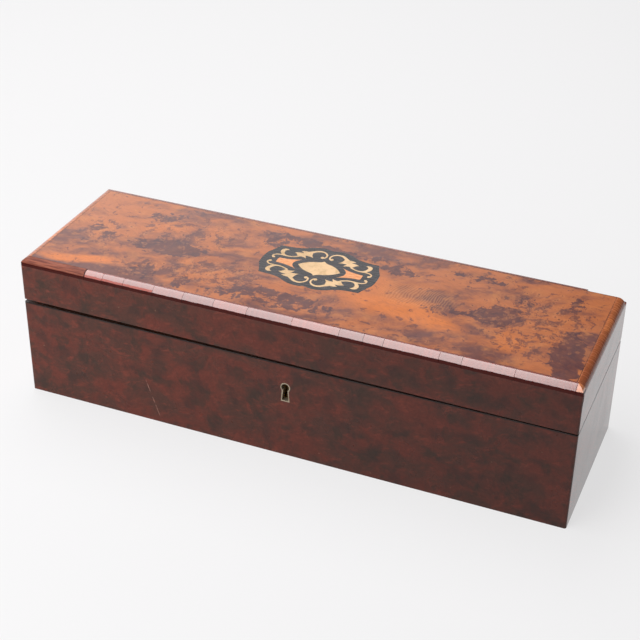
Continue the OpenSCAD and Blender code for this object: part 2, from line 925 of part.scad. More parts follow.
module link_plate() {
    low = base_h - link_z;
    color("goldenrod") translate([lock_x, 0, link_z]) difference() {
        union() {
            block([-link_w / 2, -y_wall - selvedge_d, 0], [link_w / 2, -y_wall, selvedge_t]);
            along_y(staple_y - staple_t / 2, staple_y + staple_t / 2)
                polygon([[staple_left, selvedge_t], [staple_left, low - staple_web],
                    [staple_left + notch_in, low - staple_web],
                    [staple_left + notch_in, low + notch_low], [staple_left, low + notch_low],
                    [staple_left, low + staple_low], [-staple_left, low + staple_low],
                    [-staple_left, selvedge_t]]);
        }
        at_link_screws() screw(screw_l, screw_fit);
    }
}

module link_screws() {
    color("khaki") translate([lock_x, 0, link_z])
        at_link_screws() slotted_screw(screw_l, 40);
}

base_floor_board();
base_front_board();
base_back_board();
base_left_board();
base_right_board();
base_front_veneer();
base_back_veneer();
base_left_veneer();
base_right_veneer();
keyhole_thread();
lock_plate();
lock_cap();
lock_drill_pin();
lock_studs();
lock_screws();
lock_bolt();
bolt_spring();
hinge_base_leaves();
hinge_pins();
hinge_base_screws();
well_front_lining();
well_back_lining();
well_left_lining();
well_right_lining();
well_floor_pad();
lid_top_board();
lid_front_board();
lid_back_board();
lid_left_board();
lid_right_board();
lid_top_veneer();
lid_front_veneer();
lid_back_veneer();
lid_left_veneer();
lid_right_veneer();
lid_front_banding();
lid_back_banding();
lid_left_banding();
lid_right_banding();
cartouche_ground();
cartouche_lozenge();
cartouche_panels();
cartouche_scrolls();
link_plate();
link_screws();
hinge_lid_leaves();
hinge_lid_screws();
lid_front_lining();
lid_back_lining();
lid_left_lining();
lid_right_lining();
lid_pad();
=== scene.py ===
# Antique glove box: finishes, padded satin linings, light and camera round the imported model.
# Lengths are millimetres in the values and metres in Blender. The front faces -Y.
import json
import math

import bmesh
import bpy
from mathutils import Matrix, Vector, noise


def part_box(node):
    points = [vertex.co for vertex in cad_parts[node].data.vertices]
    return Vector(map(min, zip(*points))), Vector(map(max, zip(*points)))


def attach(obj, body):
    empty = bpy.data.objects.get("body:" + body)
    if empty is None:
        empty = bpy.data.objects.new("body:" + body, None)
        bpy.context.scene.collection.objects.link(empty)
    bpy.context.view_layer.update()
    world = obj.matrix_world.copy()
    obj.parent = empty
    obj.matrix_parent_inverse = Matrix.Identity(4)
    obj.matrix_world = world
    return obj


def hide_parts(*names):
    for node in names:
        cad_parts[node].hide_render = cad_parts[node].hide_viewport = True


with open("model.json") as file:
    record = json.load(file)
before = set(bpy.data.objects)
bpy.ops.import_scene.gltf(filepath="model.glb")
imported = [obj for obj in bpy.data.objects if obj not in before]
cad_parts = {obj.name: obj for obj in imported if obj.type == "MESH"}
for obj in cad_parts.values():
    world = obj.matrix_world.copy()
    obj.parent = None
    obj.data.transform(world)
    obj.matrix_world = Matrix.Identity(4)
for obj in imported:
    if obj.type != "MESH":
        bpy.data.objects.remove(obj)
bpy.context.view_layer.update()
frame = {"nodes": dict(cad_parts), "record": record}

MM = 0.001
HALF_LENGTH = 150

# The camera that the photograph was taken with, in the frame of the box.
CAMERA_AT = (240.7, -589.7, 450.5)
CAMERA_YAW = 22.12
CAMERA_PITCH = 31.8
CAMERA_ROLL = 0.89
FOCAL_PX = 1433.0
IMAGE_PX = 640
SENSOR = 36

# One long bank of light, mostly to the left: flat over the box, then sloping down in front.
# Each panel has its middle, its width, its length from front to back and its slope in degrees.
PANELS = (((-422, 140, 1080), 895, 1520, 0), ((-430, -1010, 705), 860, 1082, 44))
PANEL_GLOW = 3.5
AMBIENT = 0.18
# A paler wash low behind the box and to its left, whose haze the top reflects. Its limits are
# parts of a unit direction: upwards, backwards and to the right.
WASH = 1.8
WASH_UP = (0.44, 0.55)
WASH_BACK = (0.1, 0.5)
WASH_RIGHT = (-0.3, -0.1)
BACKGROUND = (0.92, 0.915, 0.92)
FLOOR_WHITE = 0.74
# The paper's two tints, as shares of its white.
FLOOR_TINTS = ((1, 0.992, 1), (1.01, 1.005, 1.015))
FLOOR_GLOW = 0.75
# The floor fades into the plain background between these distances from the box.
FLOOR_FADE = (600, 1800)
FLOOR_SIZE = 8000

# The colours of the finishes, as display values of 0 to 255.
COLOURS = {
    "top_shade": (104, 60, 54), "top_amber": (172, 98, 56), "top_gold": (184, 112, 60),
    "top_glow": (198, 110, 50), "top_ripple": (232, 160, 100), "top_rim": (50, 26, 22),
    "cloud_pale": (92, 52, 50), "cloud_deep": (70, 42, 50),
    "eye_ring": (206, 130, 80), "eye_core": (66, 36, 36),
    "side_shade": (70, 37, 27), "side_red": (90, 37, 25), "side_streak": (112, 48, 34),
    "side_blot": (36, 24, 20), "side_olive": (44, 32, 23), "side_dot": (140, 106, 84),
    "side_rim": (18, 8, 6), "side_scratch": (165, 120, 105),
    "front_shade": (118, 44, 34), "front_red": (146, 62, 46), "front_strip": (158, 62, 44),
    "front_corner": (206, 118, 64), "front_crack_and_shade": (62, 14, 8),
    "mended_shade": (98, 44, 34), "mended_pale": (150, 84, 62),
    "back_shade": (96, 44, 34), "back_red": (128, 62, 44),
    "ends_shade": (140, 72, 40), "ends_gold": (184, 106, 60), "edge_outer": (112, 48, 44),
    "carcase_pale": (150, 92, 58), "carcase_dark": (112, 62, 40), "carcase_pores": (70, 36, 24),
    "underside_pale": (120, 88, 62), "underside_dark": (88, 62, 44),
    "underside_pores": (52, 36, 26), "board_rim": (26, 14, 10),
    "ebony_dark": (28, 25, 28), "ebony_pale": (54, 49, 54), "ebony_rubbed": (74, 67, 70),
    "amber_dark": (206, 122, 70), "amber_pale": (236, 164, 106), "amber_fleck": (160, 84, 54),
    "inlay_brass": (219, 186, 146), "inlay_brass_dull": (186, 152, 110),
    "engraving": (120, 96, 58),
    "lock_brass": (214, 180, 112), "lock_brass_dull": (150, 116, 70),
    "hinge_brass": (208, 172, 104), "hinge_brass_dull": (140, 106, 64),
    "keyhole_brass": (172, 158, 138), "keyhole_brass_dull": (120, 104, 84),
    "screw_steel": (150, 146, 140), "screw_steel_dull": (92, 82, 74),
    "lock_steel": (168, 166, 162), "lock_steel_dull": (112, 104, 96),
    "satin_wall": (158, 44, 58), "satin_wall_deep": (126, 26, 42),
    "satin_pad": (166, 48, 62), "satin_pad_deep": (132, 28, 44),
}


def colour(name):
    """A named colour in linear values."""
    def linear(v):
        v /= 255
        return v / 12.92 if v <= 0.04045 else ((v + 0.055) / 1.055) ** 2.4
    return (*(linear(v) for v in COLOURS[name]), 1)


# Nodes

# Most of a noise lies between these values.
NOISE_SPAN = (0.3, 0.7)
# A soft ellipse is full up to the first share of its half sizes and gone at the second.
SPOT_SOFT = (0.55, 1.25)
ENDLESS = 1e4
EDGE_SAMPLES = 4


class Nodes:
    """A tree of nodes in the making. Most methods add nodes and return a socket."""

    def __init__(self, tree):
        self.tree = tree

    def add(self, kind, **settings):
        node = self.tree.nodes.new("ShaderNode" + kind)
        for key, value in settings.items():
            setattr(node, key, value)
        return node

    def put(self, socket, value):
        if isinstance(value, bpy.types.NodeSocket):
            self.tree.links.new(value, socket)
        else:
            socket.default_value = value

    def fed(self, kind, sockets, **settings):
        """A new node with values or links in its named sockets."""
        node = self.add(kind, **settings)
        for name, value in sockets.items():
            self.put(node.inputs[name], value)
        return node

    def math(self, operation, a, b=0.0):
        node = self.add("Math", operation=operation)
        self.put(node.inputs[0], a)
        self.put(node.inputs[1], b)
        return node.outputs[0]

    def times(self, first, *others):
        for other in others:
            first = self.math("MULTIPLY", first, other)
        return first

    def most(self, first, *others):
        for other in others:
            first = self.math("MAXIMUM", first, other)
        return first

    def axes(self, at):
        node = self.add("SeparateXYZ")
        self.put(node.inputs[0], at)
        return node.outputs

    def ramp(self, value, low, high, start=0.0, end=1.0):
        """Runs smoothly from start, below low, to end, above high."""
        node = self.add("MapRange", interpolation_type="SMOOTHSTEP")
        for socket, v in zip(node.inputs, (value, low, high, start, end)):
            self.put(socket, v)
        return node.outputs["Result"]

    def fade(self, value, low, high):
        return self.ramp(value, low, high, 1.0, 0.0)

    def mixed(self, share, first, second):
        """Two shaders mixed by a share of the second."""
        node = self.add("MixShader")
        for socket, value in zip(node.inputs, (share, first, second)):
            self.put(socket, value)
        return node.outputs[0]


class Finish(Nodes):
    """A procedural finish, laid out in the box's own millimetres."""

    def __init__(self, name, **shader):
        self.material = bpy.data.materials.new(name)
        self.material.use_nodes = True
        super().__init__(self.material.node_tree)
        self.shader = self.tree.nodes["Principled BSDF"]
        for socket, value in shader.items():
            self.shader.inputs[socket.replace("_", " ")].default_value = value
        place = self.add("TexCoord").outputs["Object"]
        self.mm = self.vector("MULTIPLY", place, (1 / MM,) * 3)

    def vector(self, operation, a, b=(0, 0, 0)):
        node = self.add("VectorMath", operation=operation)
        self.put(node.inputs[0], a)
        self.put(node.inputs[1], b)
        return node.outputs["Value" if operation == "LENGTH" else "Vector"]

    def noise(self, at, size, detail=3.0, roughness=0.55):
        """Noise whose blotches are about size millimetres across."""
        node = self.fed("TexNoise", {"Vector": at, "Scale": 1 / size, "Detail": detail,
                                     "Roughness": roughness})
        return node.outputs["Fac"]

    def warp(self, at, size, amount, detail=2.0):
        """The place, pushed about by noise of that size by up to about that amount."""
        node = self.fed("TexNoise", {"Vector": at, "Scale": 1 / size, "Detail": detail})
        push = self.vector("SUBTRACT", node.outputs["Color"], (0.5, 0.5, 0.5))
        return self.vector("ADD", at, self.vector("MULTIPLY", push, (2 * amount,) * 3))

    def cells(self, at, size):
        """Distance to the nearest of scattered points, in shares of size, and a random share."""
        node = self.fed("TexVoronoi", {"Vector": at, "Scale": 1 / size})
        return node.outputs["Distance"], self.axes(node.outputs["Color"])["X"]

    def waves(self, at, scale, distortion):
        """Parallel bands across X."""
        node = self.fed("TexWave", {"Vector": at, "Scale": scale, "Distortion": distortion},
                        wave_type="BANDS", bands_direction="X")
        return node.outputs["Fac"]

    def turned(self, at, x=0.0, y=0.0, turn=0.0, about="Z", size=(1, 1, 1)):
        """The place as seen from a point, turned by degrees and divided by a size."""
        spin = [math.radians(turn) if axis == about else 0 for axis in "XYZ"]
        node = self.fed("Mapping", {"Vector": at, "Location": (x, y, 0), "Rotation": spin,
                                    "Scale": size}, vector_type="TEXTURE")
        return node.outputs["Vector"]

    def spread(self, value, start, end):
        """Runs from start to end over most of a noise."""
        return self.ramp(value, *NOISE_SPAN, start, end)

    def blend(self, share, a, b):
        node = self.fed("Mix", {"Factor": share, "A": a, "B": b}, data_type="RGBA")
        return node.outputs["Result"]

    def toned(self, tint, brightness):
        """The tint, brighter or darker."""
        node = self.add("CombineXYZ")
        for socket in node.inputs:
            self.put(socket, brightness)
        return self.vector("MULTIPLY", tint, node.outputs[0])

    def spots(self, at, places):
        """The greatest share over soft ellipses: x, y, half sizes, turn and strength."""
        total = 0.0
        for x, y, half_x, half_y, turn, strength in places:
            near = self.turned(at, x=x, y=y, turn=turn, size=(half_x, half_y, ENDLESS))
            share = self.ramp(self.vector("LENGTH", near), *SPOT_SOFT, strength, 0.0)
            total = self.most(total, share)
        return total

    def line(self, at, start, end, width, plane):
        """A fine straight mark between two places in a plane, 1 on the line and 0 off it."""
        first = Vector(start)
        run = Vector(end) - first
        middle = first + run / 2
        parts = self.axes(at)
        flat = self.fed("CombineXYZ", {"X": parts[plane[0]], "Y": parts[plane[1]]})
        turn = math.degrees(math.atan2(run.y, run.x))
        near = self.axes(self.turned(flat.outputs[0], x=middle.x, y=middle.y, turn=turn,
                                     size=(run.length / 2, width / 2, 1)))
        along = self.fade(self.math("ABSOLUTE", near["X"]), 0.7, 1.0)
        across = self.fade(self.math("ABSOLUTE", near["Y"]), 0.4, 1.0)
        return self.times(along, across)

    def bump(self, height, depth, normal=None):
        """A bump whose full height is depth millimetres."""
        node = self.fed("Bump", {"Strength": 1.0, "Distance": depth * MM, "Height": height})
        if normal is not None:
            self.put(node.inputs["Normal"], normal)
        return node.outputs["Normal"]

    def worn_edge(self, radius):
        """Normals that round every arris a little."""
        node = self.fed("Bevel", {"Radius": radius * MM}, samples=EDGE_SAMPLES)
        return node.outputs["Normal"]

    def finish(self, tint, roughness=None, normal=None):
        self.put(self.shader.inputs["Base Color"], tint)
        if roughness is not None:
            self.put(self.shader.inputs["Roughness"], roughness)
        if normal is not None:
            self.put(self.shader.inputs["Normal"], normal)
        return self.material


# Burl veneers

# Soft patches of the top's figure: x, y, half length, half width, turn and strength.
DARK_CLOUDS = (
    (-83, -4, 21, 8, 5, 0.8), (-36, 28, 9, 9, -30, 0.6), (-8, 29, 26, 5, -8, 0.75),
    (30, 24, 17, 5, -12, 0.55), (-14, -29, 34, 9, 3, 0.6), (96, 1, 13, 11, 20, 0.8),
    (136, -24, 8, 24, 0, 1.0), (73, -4, 16, 5, 10, 0.45), (-86, -31, 8, 9, 0, 0.6),
    (-61, -33, 6, 6, 0, 0.6), (-119, -4, 6, 6, 0, 0.5), (-130, 1, 4, 6, 0, 0.6),
    (-101, 24, 11, 7, 20, 0.5), (130, 22, 5, 8, 0, 0.5), (106, 18, 6, 6, 0, 0.4),
    (78, 32, 16, 4, -5, 0.4))
GLOWS = (
    (50, -14, 34, 11, -8, 1.0), (33, 0, 8, 17, 0, 0.6), (-122, -33, 22, 5, 14, 1.0),
    (-94, 16, 15, 7, 20, 0.5), (106, -22, 11, 9, 0, 0.6), (-60, -10, 14, 5, 30, 0.5))
EYE_CLUSTERS = (
    (-52, -20, 27, 13, 10, 1.0), (114, -2, 30, 30, 0, 0.9), (-86, 10, 32, 17, 20, 0.6),
    (-125, -5, 14, 16, 0, 0.6), (-92, -30, 14, 10, 0, 0.7), (50, -36, 30, 5, 0, 0.35))
RIPPLE_PATCH = ((53, 1, 21, 11, 0, 1.0),)
# Spacing of the eyes and the radius of their dark core as a share of it.
EYE_SIZES = ((4.6, 0.13), (2.4, 0.17))

# Heights between which the dark rim under the seam begins and ends.
RIM_START = (54.9, 55.3)
RIM_END = (56.0, 56.2)
# Ends of the scratch on the front, from left and height.
SCRATCH = ((-79, 25.6), (-71, 2.6))
# The ends have the same veneer with a finer polish; their gain makes it redder, and brighter as
# painted light.
END_POLISH = {"tint_and_light_gain": (2.4, 1.7, 1.3), "gloss": 0.85, "relief": 0.006, "rough": 0.13}


def burl_top():
    f = Finish("burl_top_polish", IOR=1.5)
    at = f.warp(f.warp(f.mm, 32, 7), 7, 1.8, detail=3)
    flow = f.noise(f.turned(at, turn=14, size=(1.9, 1, 1)), 15, detail=5, roughness=0.6)
    tint = f.blend(f.ramp(flow, 0.36, 0.6), colour("top_shade"), colour("top_amber"))
    gold = f.ramp(f.noise(at, 12, detail=4, roughness=0.65), 0.5, 0.72, 0.0, 0.6)
    tint = f.blend(gold, tint, colour("top_gold"))
    ragged = f.noise(at, 4.5, detail=5, roughness=0.7)
    glow = f.times(f.spots(at, GLOWS), f.ramp(ragged, 0.2, 0.6, 0.5, 1.0))
    tint = f.blend(glow, tint, colour("top_glow"))
    torn = f.math("ADD", f.times(f.spots(at, DARK_CLOUDS), 1.25), f.spread(ragged, -0.5, 0.5))
    cloud = f.ramp(torn, 0.42, 0.6, 0.0, 0.86)
    crest = f.noise(f.warp(at, 3, 1.2), 5.5, detail=5, roughness=0.72)
    crest = f.math("ADD", crest, f.times(f.spots(f.mm, EYE_CLUSTERS), 0.1))
    cloud = f.most(cloud, f.ramp(crest, 0.565, 0.64, 0.0, 0.7))
    deep = f.blend(f.ramp(ragged, 0.4, 0.62), colour("cloud_pale"), colour("cloud_deep"))
    tint = f.blend(cloud, tint, deep)
    strokes = f.noise(f.turned(at, turn=-20, size=(3.2, 0.7, 1)), 1.6, detail=3, roughness=0.7)
    tint = f.toned(tint, f.spread(strokes, 0.93, 1.07))
    tint = with_eyes(f, tint, at)
    ripple = f.waves(f.turned(at, turn=-12), 0.22, 2.5)
    bands = f.times(ripple, f.spots(f.mm, RIPPLE_PATCH), 0.22)
    tint = f.blend(bands, tint, colour("top_ripple"))
    tint = f.blend(rim_line(f), tint, colour("top_rim"))
    height = f.math("ADD", f.noise(f.mm, 9, detail=2), f.times(strokes, 0.06))
    roughness = f.spread(f.noise(f.mm, 24, detail=3), 0.16, 0.26)
    return f.finish(tint, roughness, f.bump(height, 0.05))


def with_eyes(f, tint, at):
    """Scatters the burl's small dark eyes, a few with a pale ring, in the clusters."""
    share = f.spots(at, EYE_CLUSTERS)
    for size, core in EYE_SIZES:
        distance, pick = f.cells(f.warp(at, 1.6, 0.9, detail=3), size)
        kept = f.ramp(f.math("ADD", pick, f.times(share, 0.75)), 0.95, 1.05)
        ring = f.ramp(distance, core + 0.34, core + 0.12)
        tint = f.blend(f.times(ring, kept, 0.2), tint, colour("eye_ring"))
        eye = f.ramp(distance, core + 0.07, core - 0.05)
        tint = f.blend(f.times(eye, kept, 0.7), tint, colour("eye_core"))
    return tint


def rim_line(f):
    """The fine dark line where the top veneer meets the banding."""
    _, high = (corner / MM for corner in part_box("lid_top_veneer"))
    parts = f.axes(f.mm)
    inside = [f.math("SUBTRACT", reach, f.math("ABSOLUTE", parts[axis]))
              for axis, reach in (("X", high.x), ("Y", high.y))]
    worn = f.ramp(f.noise(f.mm, 3, detail=2), 0.35, 0.6, 0.35, 0.9)
    return f.times(f.fade(f.math("MINIMUM", *inside), 0.15, 0.5), worn)


def burl_sides(name="burl_sides_polish", tint_and_light_gain=(1, 1, 1), gloss=0.36, relief=0.05, rough=0.26):
    f = Finish(name, IOR=1.45, Specular_IOR_Level=gloss)
    at = f.warp(f.warp(f.mm, 24, 6), 5, 1.2, detail=3)
    flow = f.noise(f.turned(at, turn=8, about="Y", size=(1.5, 1, 1)), 13, detail=5,
                   roughness=0.6)
    tint = f.blend(f.ramp(flow, 0.38, 0.62), colour("side_shade"), colour("side_red"))
    streak = f.noise(f.turned(at, turn=-15, about="Y", size=(2.4, 1, 1)), 3.2, detail=4,
                     roughness=0.7)
    tint = f.blend(f.ramp(streak, 0.5, 0.72, 0.0, 0.7), tint, colour("side_streak"))
    blot = f.noise(f.warp(f.mm, 9, 3), 11, detail=3, roughness=0.5)
    tint = f.blend(f.ramp(blot, 0.5, 0.68, 0.0, 0.5), tint, colour("side_blot"))
    olive = f.noise(at, 10, detail=3, roughness=0.6)
    tint = f.blend(f.ramp(olive, 0.52, 0.68, 0.0, 0.6), tint, colour("side_olive"))
    fine = f.noise(at, 1.8, detail=4, roughness=0.75)
    tint = f.toned(tint, f.spread(fine, 0.84, 1.16))
    distance, pick = f.cells(at, 7)
    dot = f.times(f.ramp(distance, 0.07, 0.04), f.ramp(pick, 0.7, 0.75), 0.4)
    tint = f.blend(dot, tint, colour("side_dot"))
    parts = f.axes(f.mm)
    # Painted light: the veneer is lighter towards the left end and darker towards the right.
    tint = f.toned(tint, f.ramp(parts["X"], -HALF_LENGTH, HALF_LENGTH, 1.2, 0.74))
    # The gain makes the ends redder and also brighter, as painted light; the front and back keep
    # their colour.
    tint = f.vector("MULTIPLY", tint, tint_and_light_gain)
    rim = f.times(f.ramp(parts["Z"], *RIM_START), f.fade(parts["Z"], *RIM_END), 0.9)
    tint = f.blend(rim, tint, colour("side_rim"))
    scratch = f.line(f.mm, *SCRATCH, width=0.4, plane="XZ")
    broken = f.ramp(f.noise(f.mm, 2.2, detail=2), 0.4, 0.6)
    tint = f.blend(f.times(scratch, broken), tint, colour("side_scratch"))
    height = f.math("ADD", f.noise(f.mm, 8, detail=2), f.times(fine, 0.05))
    roughness = f.spread(f.noise(f.mm, 20, detail=3), rough, rough * 1.4)
    return f.finish(tint, roughness, f.bump(height, relief, f.worn_edge(0.3)))


# Banding

# Places along the front banding: the mended piece and its crack, the red strip, the corner.
MENDED_END = (-112.1, -111.9)
CRACK_X = -111.9
STRIP_END = (-72.6, -72.2)
CORNER_START = (146.2, 146.5)
# Heights on the front banding: the dark line of painted shade under the nosing, and the red strip
# above it.
SHADE_LINE_TOP = (79.8, 80.0)
STRIP_TOP = (80.75, 81.0)
# Distances from the middle at which the other bandings begin to darken.
BACK_DARK = 43
ENDS_DARK = 148


def cross_banding(name, axis, low, high, gloss):
    """Short pieces whose grain runs across the edge, each of its own tone."""
    f = Finish(name, IOR=1.5, Specular_IOR_Level=gloss)
    size = (1, 9, 9) if axis == "X" else (9, 1, 9)
    grain = f.noise(f.turned(f.warp(f.mm, 6, 0.5), size=size), 1.1, detail=3, roughness=0.55)
    own = f.add("NewGeometry").outputs["Random Per Island"]
    tint = f.blend(own, colour(low), colour(high))
    return f, f.toned(tint, f.spread(grain, 0.86, 1.12)), grain


def front_banding():
    """The banding in front: high polish above a dark line of painted shade, and one dull mended
    piece.
    """
    f, tint, _ = cross_banding("banding_polish_front", "X", "front_shade", "front_red", 1.0)
    parts = f.axes(f.mm)
    level = f.math("ADD", parts["Z"], f.times(f.noise(f.mm, 4, detail=2), 0.5))
    strip = f.times(f.fade(parts["X"], *STRIP_END), f.fade(level, *STRIP_TOP))
    tint = f.blend(strip, tint, colour("front_strip"))
    tint = f.blend(f.ramp(parts["X"], *CORNER_START), tint, colour("front_corner"))
    along = f.noise(f.turned(f.mm, size=(14, 1, 1)), 0.8, detail=4, roughness=0.65)
    dull = f.blend(f.ramp(along, 0.35, 0.65), colour("mended_shade"), colour("mended_pale"))
    mended = f.fade(parts["X"], *MENDED_END)
    tint = f.blend(mended, tint, dull)
    # The crack is a real dark joint; along the bottom of the nosing the dark is painted shade.
    from_crack = f.math("ABSOLUTE", f.math("SUBTRACT", parts["X"], CRACK_X))
    line = f.most(f.fade(from_crack, 0.25, 0.4), f.fade(level, *SHADE_LINE_TOP))
    tint = f.blend(line, tint, colour("front_crack_and_shade"))
    bare = f.most(line, mended, f.times(strip, 0.7))
    f.put(f.shader.inputs["Coat Weight"], f.math("SUBTRACT", 1.0, bare))
    f.put(f.shader.inputs["Specular IOR Level"], f.ramp(bare, 0.0, 1.0, 1.0, 0.15))
    f.put(f.shader.inputs["Coat Roughness"], 0.08)
    return f.finish(tint, 0.2, f.bump(f.noise(f.mm, 9, detail=1), 0.03))


def edge_banding(name, axis, low, high, dark_from):
    """The banding at an end or the back, darker towards the outside."""
    f, tint, grain = cross_banding(name, axis, low, high, 0.4)
    reach = f.math("ABSOLUTE", f.axes(f.mm)["Y" if axis == "X" else "X"])
    outer = f.ramp(reach, dark_from, dark_from + 2, 0.0, 0.5)
    tint = f.blend(outer, tint, colour("edge_outer"))
    return f.finish(tint, f.spread(grain, 0.22, 0.3), f.bump(grain, 0.01))


# Plain woods

SEAM_Z = 56.2


def plain_wood(name, kind, axis, roughness):
    """A straight-grained board that runs along X or Y, darkened near the seam."""
    f = Finish(name, IOR=1.45)
    size = (22, 1, 1) if axis == "X" else (1, 22, 1)
    at = f.turned(f.warp(f.mm, 30, 1.6), size=size)
    dark = colour(kind + "_dark")
    rings = f.noise(at, 3.2, detail=5, roughness=0.6)
    tint = f.blend(f.ramp(rings, 0.35, 0.65), dark, colour(kind + "_pale"))
    pore = f.noise(at, 0.5, detail=2, roughness=0.6)
    tint = f.blend(f.ramp(pore, 0.55, 0.72, 0.0, 0.7), tint, colour(kind + "_pores"))
    stain = f.ramp(f.noise(f.mm, 26, detail=4), 0.45, 0.7, 0.0, 0.35)
    tint = f.blend(stain, tint, dark)
    from_seam = f.math("ABSOLUTE", f.math("SUBTRACT", f.axes(f.mm)["Z"], SEAM_Z))
    tint = f.blend(f.ramp(from_seam, 1.4, 3.0, 0.85, 0.0), tint, colour("board_rim"))
    shine = f.spread(rings, roughness, roughness + 0.14)
    return f.finish(tint, shine, f.bump(pore, 0.04, f.worn_edge(0.4)))


def ebonised():
    f = Finish("ebonised_polish", IOR=1.5)
    grain = f.noise(f.turned(f.mm, turn=4, size=(14, 1, 1)), 0.6, detail=3, roughness=0.6)
    tint = f.blend(f.ramp(grain, 0.35, 0.7), colour("ebony_dark"), colour("ebony_pale"))
    rubbed = f.ramp(f.noise(f.mm, 5, detail=4), 0.5, 0.75, 0.0, 0.5)
    tint = f.blend(rubbed, tint, colour("ebony_rubbed"))
    return f.finish(tint, f.spread(grain, 0.2, 0.3), f.bump(f.noise(f.mm, 6, detail=2), 0.03))


def amber_wood():
    f = Finish("amber_polish", IOR=1.5)
    grain = f.noise(f.turned(f.mm, turn=6, size=(7, 1, 1)), 0.5, detail=4, roughness=0.6)
    tint = f.blend(f.spread(grain, 0.0, 1.0), colour("amber_dark"), colour("amber_pale"))
    fleck = f.ramp(f.noise(f.mm, 1.2, detail=3), 0.6, 0.75, 0.0, 0.5)
    tint = f.blend(fleck, tint, colour("amber_fleck"))
    return f.finish(tint, f.spread(grain, 0.2, 0.3))


# Metals

def metal(kind, rough, scuff_size=9.0, marks=False, sheen=0.9):
    """Sheet or turned metal with fine scuffs and a dull bloom."""
    f = Finish(kind + "_metal", Metallic=sheen)
    scuffs = f.noise(f.turned(f.mm, size=(scuff_size, 1, 1)), 0.35, detail=3, roughness=0.7)
    bloom = f.noise(f.warp(f.mm, 5, 1), 4, detail=4, roughness=0.65)
    tint = f.blend(f.ramp(bloom, 0.45, 0.7, 0.0, 0.7), colour(kind), colour(kind + "_dull"))
    tint = f.toned(tint, f.spread(scuffs, 0.88, 1.08))
    if marks:
        tint = f.blend(hatching(f), tint, colour("engraving"))
    shine = f.spread(scuffs, rough, rough + 0.15)
    return f.finish(tint, shine, f.bump(scuffs, 0.015, f.worn_edge(0.12)))


def hatching(f):
    """Fine engraved strokes that shade the left half of the inlay's lozenge."""
    low, high = (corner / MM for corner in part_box("cartouche_lozenge"))
    strokes = f.ramp(f.waves(f.turned(f.mm, turn=62), 0.5, 0.6), 0.6, 0.9)
    left = f.ramp(f.axes(f.mm)["X"], (low.x + high.x) / 2 - 2, low.x, 0.0, 0.55)
    return f.times(strokes, left)


# Satin

def satin(kind):
    """Silk satin with a fine weave and slightly faded patches."""
    f = Finish(kind + "_cloth", Sheen_Weight=0.5, Sheen_Roughness=0.35, Specular_IOR_Level=0.6)
    faded = f.noise(f.mm, 30, detail=4, roughness=0.6)
    tint = f.blend(f.ramp(faded, 0.35, 0.65), colour(kind + "_deep"), colour(kind))
    threads = f.noise(f.turned(f.mm, size=(6, 1, 1)), 0.22, detail=2, roughness=0.6)
    tint = f.toned(tint, f.spread(threads, 0.9, 1.08))
    return f.finish(tint, f.spread(threads, 0.34, 0.46), f.bump(threads, 0.02))


# Variants for the nodes of the left and right ends.
END_SLOTS = {"burl_sides": "burl_ends", "banding": "banding_ends", "carcase": "carcase_ends"}


def make_finishes():
    return {
        "burl_top": burl_top(), "burl_sides": burl_sides(),
        "burl_ends": burl_sides("burl_ends_polish", **END_POLISH),
        "banding": front_banding(),
        "banding_back": edge_banding("banding_polish_back", "X", "back_shade", "back_red",
                                     BACK_DARK),
        "banding_ends": edge_banding("banding_polish_ends", "Y", "ends_shade", "ends_gold",
                                     ENDS_DARK),
        "carcase": plain_wood("carcase_wood_X", "carcase", "X", 0.42),
        "carcase_ends": plain_wood("carcase_wood_Y", "carcase", "Y", 0.42),
        "underside": plain_wood("underside_wood", "underside", "X", 0.6),
        "ebonised_wood": ebonised(), "amber_wood": amber_wood(),
        "inlay_brass": metal("inlay_brass", 0.5, marks=True, sheen=0.6),
        "lock_brass": metal("lock_brass", 0.32), "hinge_brass": metal("hinge_brass", 0.36),
        "screw_steel": metal("screw_steel", 0.38), "lock_steel": metal("lock_steel", 0.34),
        "keyhole_brass": metal("keyhole_brass", 0.4, scuff_size=2.0, sheen=0.8),
        "satin_wall": satin("satin_wall"), "satin_pad": satin("satin_pad"),
    }


def dress_nodes(finishes):
    """Gives every CAD node the finish of its slot, with the end pieces' own variants."""
    slots = {row["node"]: row["material_slot"] for row in frame["record"]["subparts"]}
    for name, node in frame["nodes"].items():
        slot = slots[name]
        if "_left_" in name or "_right_" in name:
            slot = END_SLOTS.get(slot, slot)
        elif name == "lid_back_banding":
            slot = "banding_back"
        for holder in node.material_slots:
            holder.material = finishes[slot]


# Satin linings and pads

WALL_NODES = [part + "_" + side + "_lining" for part in ("well", "lid")
              for side in ("front", "back", "left", "right")]
# Grid of a gathered panel: width of a column, height of a row, and the fewest rows.
PLEAT_COLUMN = 0.8
PLEAT_ROW = 2.2
PLEAT_ROWS = 10
PLEAT_PITCH = 7.5
PLEAT_DEPTH = 0.42
PLEAT_FULLNESS = 0.7
# How much flatter the pleats are half way up than where they are gathered.
PLEAT_EASE = 0.45
# Noise that makes the pleats wander and crumple: its fineness along and up, its shift in pitches.
DRIFT = (0.045, 0.03, 0.9)
CRUMPLE = (0.2, 0.05, 0.12)
CRUMPLE_RELIEF = 0.06
WALL_SEED_STEP = 17.0
CRUMPLE_SEED_STEP = 7
WALL_ROLL = 2.6

PAD_CELLS = (128, 32)
TUFT_STEP = 16
TUFT_SINK = 0.42
TUFT_REACH = 6.5
PAD_ROLL = 4.5
PAD_START = 0.62
PAD_TOP = 0.97

BUTTON_R = 3.4
BUTTON_H = 1.9
BUTTON_SIDES = 20
BUTTON_RINGS = 5
# The button's lower rim, sunk into the satin: share of its radius, and height.
BUTTON_NECK = (0.7, -0.5)

